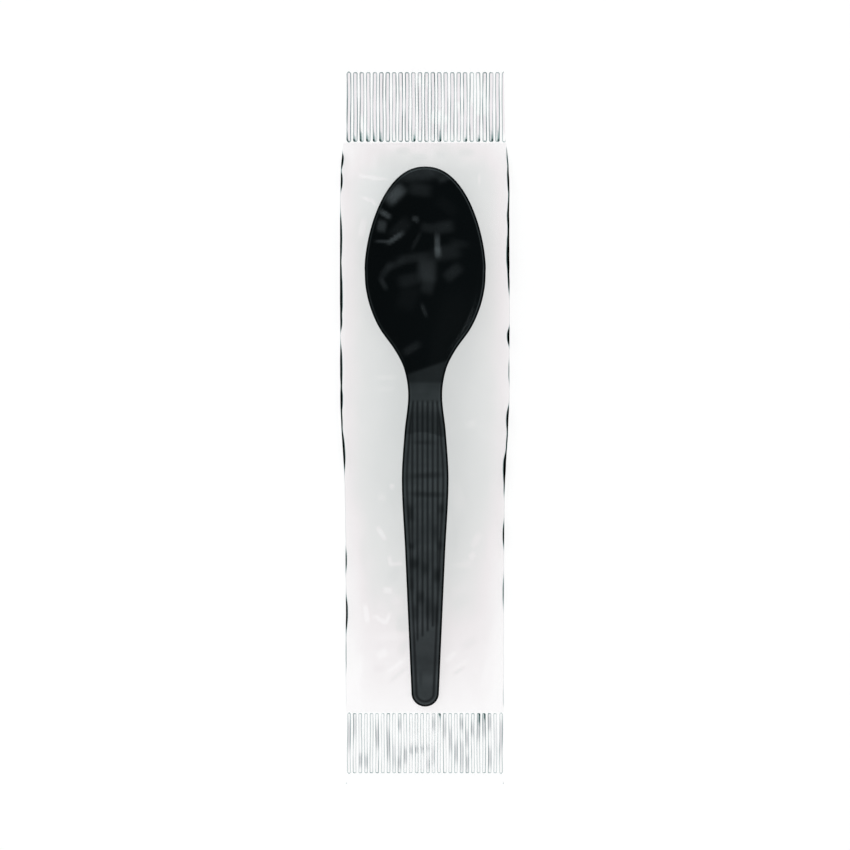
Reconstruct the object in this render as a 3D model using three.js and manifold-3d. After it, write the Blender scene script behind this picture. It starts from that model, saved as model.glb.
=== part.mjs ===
// A plastic teaspoon in a clear flow-wrap film, lying flat, in millimetres.
//
// The pack is two pieces: the moulded spoon, and one sheet of clear film folded round it into a tube. The sheet's
// two long edges meet in a fin seal under the spoon, and its two ends are pressed flat and crimped into ribs.
// +Y points to the bowl's end of the pack, +X across it and +Z up. The origin is on the table, under the middle.
import * as THREE from "three";
import { mergeVertices } from "three/addons/utils/BufferGeometryUtils.js";
import Module from "manifold-3d";

const wasm = await Module();
wasm.setup();

// ---------- Driving dimensions ----------

const PACK_LENGTH = 194.2;
const FILM_GAUGE = 0.04;
const HAIRLINE = 0.02; // the gap kept between two faces of film that touch
const CLEARANCE = 0.32; // the gap kept between the spoon and the film

const SPOON_LENGTH = 146.2;
const SPOON_TIP_Y = 70.15; // the bowl's end of the spoon
const BOWL_HALF_WIDTH = 16.35;
const BOWL_WIDEST = 27.8; // from the tip, as every other distance along the spoon
const BOWL_DEPTH = 5.35;
const HANDLE_END_RADIUS = 3.6;
const EDGE_CHAMFER = 0.4;
const TIP_ANGLE = 0.12; // where the outline's curves start, so that the spoon's two ends aren't points
const END_ANGLE = 0.3;

const GROOVE_WIDTH = 0.5;
const GROOVE_PITCH = 1.37;
const GROOVE_COUNT = 6;
const GROOVES_START = 64;
const GROOVES_END = 127.2; // where the middle of the slanted row of ends lies
const GROOVE_END_SLANT = 0.95; // how much further a groove runs, for each millimetre to the left
const BORDER_INSET = 1.3; // the border groove's distance inside the handle's outline

const TOP_SEAL = { side: 1, ribs: 25, pitch: 1.748, ribLength: 18.9, margin: 1.5, halfWidth: 21.6 };
const BOTTOM_SEAL = { side: -1, ribs: 28, pitch: 1.523, ribLength: 16.3, margin: 2.9, halfWidth: 21.35 };
const RIB_RISE = 0.3;
const RIB_RAMP = 0.7; // the length over which a rib rises at its ends
const RIB_FOOT = 0.3; // half widths of a rib, as shares of the pitch
const RIB_TOP = 0.16;
const SEAL_LAND = 0.5; // flat film between the ribs and the tube

const FIN_WIDTH = 9;
const FIN_ROOT_X = 4.5;
const FIN_DEPTH = 2 * FILM_GAUGE + 2 * HAIRLINE; // from the table to the tube's underside
const FLAT_HALF_WIDTH = 9.5; // half the width of the tube's flat underside
const FOLD_HALF_HEIGHT = 0.25; // half the height of the rounded fold along each side of the tube
const SPOON_REST = FIN_DEPTH + FILM_GAUGE + CLEARANCE; // the height of the spoon's lowest point

// ---------- Curves through a few points ----------

// A smooth function through points given as [place, value], in rising order of place.
function through(points) {
  const slope = points.map((_, i) => {
    const a = points[Math.max(i - 1, 0)];
    const b = points[Math.min(i + 1, points.length - 1)];
    return (b[1] - a[1]) / (b[0] - a[0]);
  });
  return (place) => {
    const x = THREE.MathUtils.clamp(place, points[0][0], points.at(-1)[0]);
    const i = Math.max(0, Math.min(points.length - 2, points.findIndex((p) => p[0] > x) - 1));
    const k = x >= points.at(-1)[0] ? points.length - 2 : i;
    const [x0, y0] = points[k];
    const [x1, y1] = points[k + 1];
    const span = x1 - x0;
    const t = (x - x0) / span;
    const rise = t * t * (3 - 2 * t);
    const start = t * (1 - t) * (1 - t) * span * slope[k];
    const end = t * t * (t - 1) * span * slope[k + 1];
    return y0 + (y1 - y0) * rise + start + end;
  };
}

// The spoon's half width along its sides, from the bowl's widest place to the handle's round end.
const spoonSides = through([
  [BOWL_WIDEST, BOWL_HALF_WIDTH],
  [33.4, 15.87],
  [37.2, 15.04],
  [40.5, 13.9],
  [43.7, 12.33],
  [47, 10.08],
  [50.2, 7.77],
  [53.5, 6.1],
  [56.7, 5.12],
  [61, 4.56],
  [66.5, 4.93],
  [71.3, 5.52],
  [76.2, 5.68],
  [81, 6.05],
  [84.9, 6.29],
  [89.3, 6.08],
  [94.1, 5.9],
  [103.8, 5.43],
  [116.8, 4.75],
  [130, 4.21],
  [SPOON_LENGTH - HANDLE_END_RADIUS, HANDLE_END_RADIUS],
]);

// The height of the bowl's rim and of the handle's face, above the spoon's lowest point.
const crest = through([
  [0, 4.6],
  [12, 5.7],
  [26, 6.3],
  [42, 7.3],
  [52, 8.6],
  [62, 10],
  [75, 11.1],
  [88, 10.8],
  [105, 8.7],
  [125, 5.2],
  [SPOON_LENGTH, 1.6],
]);
const backOfBowlDepth = through([
  [BOWL_WIDEST, BOWL_DEPTH],
  [36, 4.9],
  [46, 3.5],
  [54, 1.5],
  [62, 0.3],
  [66, 0],
]);

// The depth of the bowl's middle under its rim: a parabola from the tip to the widest place, then a longer slope.
function bowlDepth(fromTip) {
  const share = (BOWL_WIDEST - fromTip) / BOWL_WIDEST;
  return share > 0 ? BOWL_DEPTH * (1 - share * share) : backOfBowlDepth(fromTip);
}

const thickness = through([
  [0, 0.9],
  [40, 0.95],
  [58, 1.9],
  [66, 2.2],
  [90, 1.8],
  [SPOON_LENGTH, 1.3],
]);

// The film tube's half width and the height of the fold along its sides, by the place along the pack.
const tubeHalfWidth = through([
  [-78, BOTTOM_SEAL.halfWidth],
  [-24, 21.35],
  [-17.5, 21.6],
  [-11, 21.75],
  [-4.5, 22.25],
  [2, 22.65],
  [8, 22.9],
  [63, 22.9],
  [69, 22.7],
  [73.5, 22.35],
  [77, TOP_SEAL.halfWidth],
]);
const foldHeight = through([
  [-77, 0.25],
  [-68, 1.6],
  [-10, 2.2],
  [20, 3.1],
  [62, 3.1],
  [75.5, 0.25],
]);

// ---------- Solids ----------

// A closed solid made of a geometry, with its repeated corners merged.
function solidOf(geometry) {
  const bare = geometry.index ? geometry.clone() : geometry;
  bare.deleteAttribute("normal");
  bare.deleteAttribute("uv");
  const merged = mergeVertices(bare, 1e-4);
  const mesh = new wasm.Mesh({
    numProp: 3,
    vertProperties: merged.attributes.position.array,
    triVerts: new Uint32Array(merged.index.array),
  });
  return new wasm.Manifold(mesh);
}

function meshOf(solid, name, material) {
  const { vertProperties, triVerts } = solid.getMesh();
  const geometry = new THREE.BufferGeometry();
  geometry.setAttribute("position", new THREE.BufferAttribute(vertProperties, 3));
  geometry.setIndex(new THREE.BufferAttribute(triVerts, 1));
  geometry.computeVertexNormals();
  const mesh = new THREE.Mesh(geometry, material);
  mesh.name = name;
  return mesh;
}

// A box of columns and rows whose corners are all moved: place(column, row, upper) gives where each one goes.
function movedBox(columns, rows, place) {
  const box = new THREE.BoxGeometry(columns, rows, 1, columns, rows, 1);
  const corner = box.attributes.position;
  for (let i = 0; i < corner.count; i += 1) {
    const column = Math.round(corner.getX(i) + columns / 2);
    const row = Math.round(corner.getY(i) + rows / 2);
    const to = place(column, row, corner.getZ(i) > 0);
    corner.setXYZ(i, to.x, to.y, to.z);
  }
  return solidOf(box);
}

function block(x0, x1, y0, y1, z0, z1) {
  const box = new THREE.BoxGeometry(x1 - x0, y1 - y0, z1 - z0);
  box.translate((x0 + x1) / 2, (y0 + y1) / 2, (z0 + z1) / 2);
  return solidOf(box);
}

// Places from one value to another: evenly spaced where share is 0, and closer together at both ends above it.
function spread(from, to, count, share) {
  return Array.from({ length: count + 1 }, (_, i) => {
    const t = i / count;
    const eased = (1 - Math.cos(Math.PI * t)) / 2;
    return THREE.MathUtils.lerp(from, to, THREE.MathUtils.lerp(t, eased, share));
  });
}

// ---------- The spoon ----------

// Half of the spoon's outline, from the bowl's tip to the handle's end, as points (distance from tip, half width).
function spoonOutline() {
  const tip = new THREE.EllipseCurve(
    BOWL_WIDEST, 0, BOWL_WIDEST, BOWL_HALF_WIDTH, Math.PI - TIP_ANGLE, Math.PI / 2, true,
  );
  const endCentre = SPOON_LENGTH - HANDLE_END_RADIUS;
  const end = new THREE.EllipseCurve(
    endCentre, 0, HANDLE_END_RADIUS, HANDLE_END_RADIUS, Math.PI / 2, END_ANGLE, true,
  );
  const alongSides = spread(BOWL_WIDEST, endCentre, 24, 0.1);
  return [
    ...tip.getPoints(8),
    ...alongSides.slice(1).map((s) => new THREE.Vector2(s, spoonSides(s))),
    ...end.getPoints(4).slice(1),
  ];
}

// The height of the spoon's upper face, by the distance from the tip and the share of the half width.
function spoonFace(fromTip, share) {
  return SPOON_REST + crest(fromTip) - bowlDepth(fromTip) * (1 - share * share);
}

function spoonBlank(outline) {
  const columns = 12;
  const lastRow = outline.length - 1;
  return movedBox(columns, lastRow, (column, row, upper) => {
    const { x: fromTip, y: halfWidth } = outline[lastRow - row];
    const chamfer = Math.min(EDGE_CHAMFER, halfWidth / 3);
    const atEdge = column === 0 || column === columns;
    const share = THREE.MathUtils.clamp((2 * column - columns) / (columns - 2), -1, 1);
    const x = share * (atEdge ? halfWidth : halfWidth - chamfer);
    const drop = upper ? Number(atEdge) * chamfer : thickness(fromTip);
    return new THREE.Vector3(x, SPOON_TIP_Y - fromTip, spoonFace(fromTip, x / halfWidth) - drop);
  });
}

// A square bar along a line on the handle's face, sunk to half its height.
function grooveBar(points, steps) {
  const half = GROOVE_WIDTH / 2;
  const section = new THREE.Shape([
    new THREE.Vector2(-half, -half),
    new THREE.Vector2(half, -half),
    new THREE.Vector2(half, half),
    new THREE.Vector2(-half, half),
  ]);
  const extrudePath = new THREE.CatmullRomCurve3(points);
  return solidOf(new THREE.ExtrudeGeometry(section, { steps, extrudePath, bevelEnabled: false }));
}

function facePoint(x, fromTip) {
  return new THREE.Vector3(x, SPOON_TIP_Y - fromTip, spoonFace(fromTip, 1));
}

// The straight grooves along the handle, whose far ends lie on a slant.
function straightGrooves() {
  return Array.from({ length: GROOVE_COUNT }, (_, i) => {
    const x = (i - (GROOVE_COUNT - 1) / 2) * GROOVE_PITCH;
    const places = spread(GROOVES_START, GROOVES_END - x * GROOVE_END_SLANT, 8, 0);
    return grooveBar(places.map((s) => facePoint(x, s)), 9);
  });
}

// The border groove: down one side inside the handle's outline, round its end, and back up the other side.
function borderGroove() {
  const endCentre = SPOON_LENGTH - HANDLE_END_RADIUS;
  const radius = HANDLE_END_RADIUS - BORDER_INSET;
  const down = spread(GROOVES_START, endCentre, 12, 0.2);
  const left = down.map((s) => facePoint(BORDER_INSET - spoonSides(s), s));
  const right = down.map((s) => facePoint(spoonSides(s) - BORDER_INSET, s)).reverse();
  const round = [-60, -30, 0, 30, 60].map((degrees) => {
    const angle = THREE.MathUtils.degToRad(degrees);
    return facePoint(Math.sin(angle) * radius, endCentre + Math.cos(angle) * radius);
  });
  return grooveBar([...left, ...round, ...right], 70);
}

function makeSpoon(outline) {
  const grooves = [borderGroove(), ...straightGrooves()];
  return grooves.reduce((body, groove) => body.subtract(groove), spoonBlank(outline));
}

// ---------- The film ----------

// The tube's sections, from the handle's end of the pack to the bowl's: the place along the pack, the height of
// the film over the spoon, and half the width of spoon that holds it up.
function tubeSections(outline) {
  const overSpoon = outline.map(({ x: fromTip, y: halfWidth }) => ({
    y: SPOON_TIP_Y - fromTip,
    crown: SPOON_REST + crest(fromTip) + CLEARANCE + FILM_GAUGE,
    held: halfWidth + CLEARANCE + FILM_GAUGE,
  })).reverse();
  const first = overSpoon[0];
  const last = overSpoon.at(-1);
  const shut = FIN_DEPTH + 2 * FILM_GAUGE + HAIRLINE;
  const beyond = 2 * CLEARANCE;
  return [
    { y: sealInside(BOTTOM_SEAL), crown: shut, held: first.held },
    { ...first, y: first.y - beyond },
    ...overSpoon,
    { ...last, y: last.y + beyond },
    { y: sealInside(TOP_SEAL), crown: shut, held: last.held + 6 },
  ];
}

// Where a seal's flat land meets the tube.
function sealInside(seal) {
  return seal.side * (PACK_LENGTH / 2 - seal.margin - seal.ribLength - SEAL_LAND);
}

// The solid that fills the tube's outside, or its inside where inset is the film's gauge.
function tubeSolid(sections, inset) {
  const columns = 16;
  const held = columns / 4; // columns on each side of the middle that lie over the spoon
  const lastRow = sections.length - 1;
  return movedBox(columns, lastRow, (column, row, upper) => {
    const section = sections[row];
    const offset = column - columns / 2;
    const side = Math.sign(offset);
    const steps = Math.abs(offset);
    const edge = tubeHalfWidth(section.y) - inset;
    const kink = upper ? section.held - inset : FLAT_HALF_WIDTH;
    const slope = Math.max(0, steps / held - 1);
    const x = steps < held ? kink * (steps / held) : THREE.MathUtils.lerp(kink, edge, slope);
    const top = section.crown - inset;
    const floor = FIN_DEPTH + inset;
    const foldHalf = Math.min(FOLD_HALF_HEIGHT, (section.crown - FIN_DEPTH) / 2) - inset;
    const fold = Math.max(foldHeight(section.y), FIN_DEPTH + inset + foldHalf);
    const z = upper
      ? THREE.MathUtils.lerp(top, Math.min(top, fold + foldHalf), slope)
      : THREE.MathUtils.lerp(floor, Math.min(fold - foldHalf, top - 2 * foldHalf), slope);
    const pulledIn = (row === 0 ? 1 : row === lastRow ? -1 : 0) * inset * 8;
    return new THREE.Vector3(side * x, section.y + pulledIn, z);
  });
}

// One crimped end: two layers of film pressed together, with ribs along the pack.
function crimpedEnd(seal) {
  const { side, ribs, pitch, ribLength, margin, halfWidth } = seal;
  const edge = side * (PACK_LENGTH / 2);
  const outer = edge - side * margin;
  const inner = outer - side * ribLength;
  const overlap = 0.1;
  const rows = [
    [edge, 0],
    [outer, 0],
    [outer - side * RIB_RAMP, 1],
    [inner + side * RIB_RAMP, 1],
    [inner, 0],
    [sealInside(seal) - side * overlap, 0],
  ];
  const columns = [[-halfWidth, 0]];
  for (let i = 0; i < ribs; i += 1) {
    const middle = (i - (ribs - 1) / 2) * pitch;
    columns.push(
      [middle - RIB_FOOT * pitch, 0],
      [middle - RIB_TOP * pitch, 1],
      [middle + RIB_TOP * pitch, 1],
      [middle + RIB_FOOT * pitch, 0],
    );
  }
  columns.push([halfWidth, 0]);
  const ordered = side > 0 ? rows.reverse() : rows;
  return movedBox(columns.length - 1, rows.length - 1, (column, row, upper) => {
    const [x, across] = columns[column];
    const [y, along] = ordered[row];
    const layers = upper ? 2 * FILM_GAUGE : 0;
    return new THREE.Vector3(x, y, FIN_DEPTH + layers + RIB_RISE * across * along);
  });
}

// The tube's two long edges, face to face and folded flat under it. Their faces stay a hairline apart, so that
// the tube's inside isn't a sealed hollow.
function finSeal(tube) {
  const half = PACK_LENGTH / 2;
  const beyond = half + 1;
  const left = FIN_ROOT_X - FIN_WIDTH;
  const right = FIN_ROOT_X + FILM_GAUGE;
  const webLeft = FIN_ROOT_X - HAIRLINE - FILM_GAUGE;
  const inside = FIN_DEPTH + 1.5 * FILM_GAUGE;
  const between = [FILM_GAUGE, FILM_GAUGE + HAIRLINE];
  const fromY = sealInside(BOTTOM_SEAL) + SEAL_LAND;
  const toY = sealInside(TOP_SEAL) - SEAL_LAND;
  const layers = block(left, right, -half, half, 0, 2 * FILM_GAUGE + HAIRLINE);
  const web = block(webLeft, right, -half, half, 0, FIN_DEPTH + FILM_GAUGE / 2);
  const slit = block(left - 1, FIN_ROOT_X, -beyond, beyond, ...between);
  const mouth = block(FIN_ROOT_X - HAIRLINE, FIN_ROOT_X, fromY, toY, between[0], inside);
  return tube.add(layers).add(web).subtract(slit).subtract(mouth);
}

function makeWrapper(outline) {
  const sections = tubeSections(outline);
  const body = tubeSolid(sections, 0).add(crimpedEnd(TOP_SEAL)).add(crimpedEnd(BOTTOM_SEAL));
  return finSeal(body.subtract(tubeSolid(sections, FILM_GAUGE)));
}

// ---------- The pack ----------

const blackPlastic = new THREE.MeshStandardMaterial({ color: 0x1d2022, roughness: 0.3, metalness: 0 });
const clearFilm = new THREE.MeshStandardMaterial({
  color: 0xdfe3e1,
  roughness: 0.15,
  metalness: 0,
  transparent: true,
  opacity: 0.3,
});

const outline = spoonOutline();
const pack = new THREE.Group();
pack.add(meshOf(makeSpoon(outline), "spoon", blackPlastic));
pack.add(meshOf(makeWrapper(outline), "film_wrapper", clearFilm));

export default pack;
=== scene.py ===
import math

import bmesh
import bpy
import numpy as np
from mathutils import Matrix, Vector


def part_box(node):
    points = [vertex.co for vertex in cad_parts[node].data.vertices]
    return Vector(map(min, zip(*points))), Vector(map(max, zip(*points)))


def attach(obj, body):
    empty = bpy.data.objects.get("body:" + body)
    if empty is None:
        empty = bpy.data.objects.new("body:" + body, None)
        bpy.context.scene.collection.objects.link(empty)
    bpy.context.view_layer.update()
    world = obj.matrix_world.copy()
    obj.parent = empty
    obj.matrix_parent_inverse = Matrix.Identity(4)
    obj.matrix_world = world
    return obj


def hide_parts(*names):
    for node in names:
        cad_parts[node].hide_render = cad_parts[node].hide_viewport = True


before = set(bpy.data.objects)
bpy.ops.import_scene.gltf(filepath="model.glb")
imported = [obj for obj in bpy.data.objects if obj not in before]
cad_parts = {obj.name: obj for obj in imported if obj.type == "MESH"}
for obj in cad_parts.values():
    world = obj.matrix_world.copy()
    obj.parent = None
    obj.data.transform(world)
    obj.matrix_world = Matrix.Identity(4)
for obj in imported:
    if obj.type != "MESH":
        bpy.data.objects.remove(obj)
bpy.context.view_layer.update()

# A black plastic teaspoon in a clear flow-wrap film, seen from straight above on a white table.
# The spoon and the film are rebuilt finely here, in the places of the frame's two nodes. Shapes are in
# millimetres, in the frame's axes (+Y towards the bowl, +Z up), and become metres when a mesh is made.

MM = 0.001
PACK_LOW, PACK_HIGH = (np.array(corner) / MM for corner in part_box("film_wrapper"))
SPOON_LOW, SPOON_HIGH = (np.array(corner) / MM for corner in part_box("spoon"))


# ---------- Small helpers ----------

def through(points):
    """A smooth function through points given as (place, value), in rising order of place."""
    places, values = np.array(points, float).T
    before = np.maximum(np.arange(len(places)) - 1, 0)
    after = np.minimum(np.arange(len(places)) + 1, len(places) - 1)
    slopes = (values[after] - values[before]) / (places[after] - places[before])

    def curve(place):
        x = np.clip(place, places[0], places[-1])
        k = np.clip(np.searchsorted(places, x, side="right") - 1, 0, len(places) - 2)
        span = places[k + 1] - places[k]
        t = (x - places[k]) / span
        rise = t * t * (3 - 2 * t)
        start = t * (1 - t) ** 2 * span * slopes[k]
        end = t * t * (t - 1) * span * slopes[k + 1]
        return values[k] + (values[k + 1] - values[k]) * rise + start + end

    return curve


def smooth(value, low, high):
    """0 below low, 1 above high, and a smooth rise between them; low may be the higher number."""
    t = np.clip((value - low) / (high - low), 0, 1)
    return t * t * (3 - 2 * t)


def lumps(x, y, cell, seed):
    """Soft random hills and hollows from -1 to 1, about one cell across."""
    size = 64
    table = np.random.default_rng(seed).uniform(-1, 1, (size, size))
    across, along = x / cell[0] + 31.7, y / cell[1] + 23.3
    i, j = np.floor(across).astype(int), np.floor(along).astype(int)
    u, v = smooth(across - i, 0, 1), smooth(along - j, 0, 1)
    low = table[i % size, j % size] * (1 - u) + table[(i + 1) % size, j % size] * u
    high = table[i % size, (j + 1) % size] * (1 - u) + table[(i + 1) % size, (j + 1) % size] * u
    return low * (1 - v) + high * v


def spot(x, y, middle_x, middle_y, half_length, half_width, degrees, sharp=3):
    """1 inside a small oblong, falling to 0 outside it, softly or more sharply."""
    turn = math.radians(degrees)
    along = ((x - middle_x) * math.cos(turn) + (y - middle_y) * math.sin(turn)) / half_length
    across = (-(x - middle_x) * math.sin(turn) + (y - middle_y) * math.cos(turn)) / half_width
    return np.exp(-(np.abs(along) ** sharp) - np.abs(across) ** sharp)


def spread(start, end, count):
    """Even places from start up to, but not including, end."""
    return start + (end - start) * np.arange(count) / count


def grid_faces(rows, columns, first=0, turned=False):
    """Quads over a grid of points, stored row by row."""
    corner = first + np.arange(rows - 1)[:, None] * columns + np.arange(columns - 1)[None, :]
    quads = np.stack([corner, corner + 1, corner + columns + 1, corner + columns], axis=-1).reshape(-1, 4)
    return quads[:, ::-1] if turned else quads


def mesh_object(name, points, quads, masks=None, weld=None):
    """A smooth-shaded mesh object from points in millimetres. masks are named values for its points."""
    mesh = bpy.data.meshes.new(name)
    mesh.from_pydata((points * MM).tolist(), [], quads.tolist())
    for mask, values in (masks or {}).items():
        layer = mesh.attributes.new(mask, "FLOAT", "POINT")
        layer.data.foreach_set("value", np.asarray(values, np.float32))
    if weld:
        tidy_up(mesh, weld * MM)
    mesh.polygons.foreach_set("use_smooth", np.ones(len(mesh.polygons), bool))
    mesh.update()
    made = bpy.data.objects.new(name, mesh)
    bpy.context.scene.collection.objects.link(made)
    return made


def tidy_up(mesh, distance):
    """Welds points that lie together, and drops the faces that this leaves with no area."""
    work = bmesh.new()
    work.from_mesh(mesh)
    bmesh.ops.remove_doubles(work, verts=work.verts, dist=distance)
    bmesh.ops.dissolve_degenerate(work, edges=work.edges, dist=distance)
    bmesh.ops.recalc_face_normals(work, faces=work.faces)
    work.to_mesh(mesh)
    work.free()


# ---------- The spoon's shape ----------
# Distances along the spoon run from the bowl's tip.

SPOON_LENGTH = 146.2
SPOON_X = 0.1
SPOON_TIP_Y = (SPOON_HIGH[1] + SPOON_LOW[1] + SPOON_LENGTH) / 2
SPOON_BASE_Z = SPOON_LOW[2]
BOWL_HALF_WIDTH = 16.35
BOWL_WIDEST = 27.8
BOWL_DEPTH = 5.35
BOWL_RIM = 0.75
TIP_START = 0.3
TIP_SLIMNESS = 1.65
TIP_BLUNTNESS = 2.2
END_RADIUS = 3.72
END_CENTRE = SPOON_LENGTH - END_RADIUS
EDGE_RADIUS = 0.42
WELD_DISTANCE = 0.002

HANDLE_START = 63.6
BORDER_INSET = 1.4
GROOVE_COUNT = 6
GROOVE_PITCH = 1.37
GROOVE_HALF_WIDTH = 0.56
GROOVE_DEPTH = 0.2
GROOVES_END = 126.4
GROOVE_END_SLANT = 0.92

# Painted shade: patches of the handle where its satin face is painted darker, as middle x and y, half length
# and half width, the direction in degrees of the long side, and how much of the satin they take away.
PAINTED_SHADE_PATCHES = [
    (0.3, -13.5, 4.8, 0.8, 3, 0.42), (0.9, -18.6, 4.8, 0.75, -2, 0.48), (-4.0, -23.8, 2.4, 0.9, 90, 0.55),
    (4.3, -22.5, 1.3, 1.0, 90, 0.45), (-0.4, -4.6, 3.0, 0.6, 0, 0.35), (-3.7, -32.6, 0.9, 0.8, 0, 0.5),
    (4.1, -32.4, 1.3, 0.9, 90, 0.45), (-2.9, -37.2, 1.6, 1.4, 90, 0.6), (0.0, -38.6, 1.8, 1.1, 90, 0.45),
    (3.2, -40.4, 1.9, 1.2, 90, 0.6), (-1.3, -46.4, 1.9, 1.1, 90, 0.5), (0.9, -49.5, 3.0, 1.0, 90, 0.4),
    (2.9, -51.0, 3.2, 0.9, 90, 0.45), (-2.6, -50.6, 2.4, 0.9, 90, 0.4), (2.6, -29.0, 2.2, 0.8, 90, 0.3),
    (-3.6, -43.0, 2.0, 0.7, 90, 0.3), (-1.2, -68.4, 2.0, 0.5, 90, 0.25),
]

spoon_sides = through([
    (BOWL_WIDEST, BOWL_HALF_WIDTH), (33, 16.05), (38.5, 14.75), (44, 12.3), (50, 8.1), (55, 5.65), (62, 4.57),
    (72, 5.55), (85, 6.28), (104, 5.4), (END_CENTRE, END_RADIUS),
])
crest = through([
    (0, 4.6), (12, 5.7), (26, 6.3), (42, 7.3), (52, 8.6), (62, 10), (75, 11.1), (88, 10.8), (105, 8.7),
    (125, 5.2), (SPOON_LENGTH, 1.6),
])
back_depth = through([(BOWL_WIDEST, BOWL_DEPTH), (36, 4.9), (46, 3.5), (54, 1.5), (62, 0.3), (66, 0)])
thickness = through([(0, 0.9), (40, 0.95), (58, 1.9), (66, 2.2), (90, 1.8), (SPOON_LENGTH, 1.3)])


def tip_shape(s):
    """How wide the bowl's tip is beside an ellipse: blunter at its very end, and slimmer at its shoulders."""
    down = np.clip((BOWL_WIDEST - s) / (BOWL_WIDEST - TIP_START), 0, 0.999)
    return (1 - down ** TIP_SLIMNESS) ** (1 / TIP_BLUNTNESS) / np.sqrt(1 - down ** 2)


def half_width(s):
    down = (BOWL_WIDEST - s) / (BOWL_WIDEST - TIP_START)
    tip = BOWL_HALF_WIDTH * tip_shape(s) * np.sqrt(np.maximum(0, 1 - down ** 2))
    end = np.sqrt(np.maximum(0, END_RADIUS ** 2 - (s - END_CENTRE) ** 2))
    return np.where(s < BOWL_WIDEST, tip, np.where(s > END_CENTRE, end, spoon_sides(s)))


def from_edge(x, s):
    """The distance inside the spoon's outline."""
    tip_length, tip_width = BOWL_WIDEST - TIP_START, BOWL_HALF_WIDTH * tip_shape(s)
    down = (s - BOWL_WIDEST) / tip_length
    level = np.sqrt((x / tip_width) ** 2 + down ** 2) + 1e-9
    steep = np.sqrt((x / tip_width ** 2) ** 2 + (down / tip_length) ** 2) / level + 1e-9
    tip = (1 - level) / steep
    lean = (spoon_sides(s + 0.1) - spoon_sides(s - 0.1)) / 0.2
    side = (spoon_sides(s) - np.abs(x)) / np.sqrt(1 + lean ** 2)
    end = END_RADIUS - np.hypot(x, s - END_CENTRE)
    return np.maximum(0, np.where(s < BOWL_WIDEST, tip, np.where(s > END_CENTRE, end, side)))


def bowl_hollow(x, s, rim):
    """How far the bowl's face lies below its rim."""
    down = (s - BOWL_WIDEST) / (BOWL_WIDEST - TIP_START - rim)
    tip = BOWL_DEPTH * (1 - (x / (BOWL_HALF_WIDTH * tip_shape(s) - rim)) ** 2 - down ** 2)
    back = back_depth(s) * (1 - (x / (half_width(s) - rim + 1e-6)) ** 2)
    return np.maximum(0, np.where(s < BOWL_WIDEST, tip, back))


def groove_mask(x, s):
    """1 along the middle of the handle's grooves, falling to 0 at their edges."""
    inside = from_edge(x, s)
    begun = smooth(s, HANDLE_START - 0.4, HANDLE_START + 0.4)
    deepest = begun * smooth(np.abs(inside - BORDER_INSET), GROOVE_HALF_WIDTH, 0)
    for k in range(GROOVE_COUNT):
        middle = (k - (GROOVE_COUNT - 1) / 2) * GROOVE_PITCH
        end = GROOVES_END - middle * GROOVE_END_SLANT
        line = smooth(np.abs(x - middle), GROOVE_HALF_WIDTH, 0) * smooth(s, end + 0.4, end - 0.4)
        line = line * smooth(inside, BORDER_INSET - 0.3, BORDER_INSET)
        deepest = np.maximum(deepest, line * begun)
    return deepest


def edge_round(inside):
    """How far a rounded edge drops the surface at a distance inside the outline."""
    short = np.clip(EDGE_RADIUS - inside, 0, EDGE_RADIUS)
    return EDGE_RADIUS - np.sqrt(EDGE_RADIUS ** 2 - short ** 2)


def spoon_rows():
    tip = TIP_START + (BOWL_WIDEST - TIP_START) * (1 - np.cos(spread(0, math.pi / 2, 64)))
    sides = spread(BOWL_WIDEST, END_CENTRE, 250)
    end = END_CENTRE + END_RADIUS * np.sin(np.linspace(0, math.pi / 2, 24))
    return np.concatenate([tip, sides, end])


def spoon_columns(width):
    """Places across each row, close together near the edges."""
    near_edge = np.array([0, 0.015, 0.05, 0.1, 0.17, 0.26, 0.36, 0.46, 0.56, 0.66, 0.76, 0.9])
    reach = near_edge[None, :] * np.minimum(1, width / 2.2)[:, None]
    left = reach - width[:, None]
    inner = left[:, -1:] * np.linspace(1, -1, 109)[None, 1:-1]
    return np.concatenate([left, inner, -left[:, ::-1]], axis=1)


def satin_and_painted_light_mask(x, s, inside):
    """Where the upper face is satin, and how grey it is painted: a painted sheen, with painted highlights and
    painted shade on the handle, and a painted highlight line round the bowl.
    """
    # Painted light: the neck is painted lighter where it slopes towards the light, and a painted highlight
    # runs along the handle's border.
    neck = 0.3 * smooth(s - 54.8 + 0.35 * x, -0.5, 0.5) * smooth(s, 59.2, 58.2)
    handle = smooth(s, 58.2, 59.2) * (1 + 0.3 * smooth(np.abs(inside - 0.75), 0.25, 0))
    handle = handle * (1 - 0.36 * smooth(s, 64.4, 63.4)) * (1 - 0.2 * smooth(s, 124, 130))
    handle = (handle + neck) * smooth(inside, 0.45, 0.6)
    # Painted shade: a darker band across the top of the handle, ending in an arc, with a painted highlight
    # line along the arc.
    arc = s - 72.1 - 0.04 * (x + 1) ** 2
    painted_arc_shade = 0.42 * smooth(s, 63.5 + 0.25 * x, 67.5 + 0.25 * x) * smooth(arc, 0.25, -0.25)
    painted_arc_shade = painted_arc_shade - 0.15 * smooth(np.abs(arc - 0.3), 0.35, 0)
    handle = handle * (1 - painted_arc_shade)
    # Painted shade: the listed patches are painted darker.
    for *place, loss in PAINTED_SHADE_PATCHES:
        handle = handle * (1 - loss * spot(x, SPOON_TIP_Y - s, *place))
    # Painted highlight: a light line just inside the bowl's rim.
    rim_strength = np.maximum(0.35 + 0.5 * smooth(x, -12, 4), smooth(s, 6, 1))
    painted_rim_highlight = rim_strength * smooth(np.abs(inside - 0.64), 0.16, 0.04) * smooth(s, 55, 48)
    return handle + painted_rim_highlight


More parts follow.
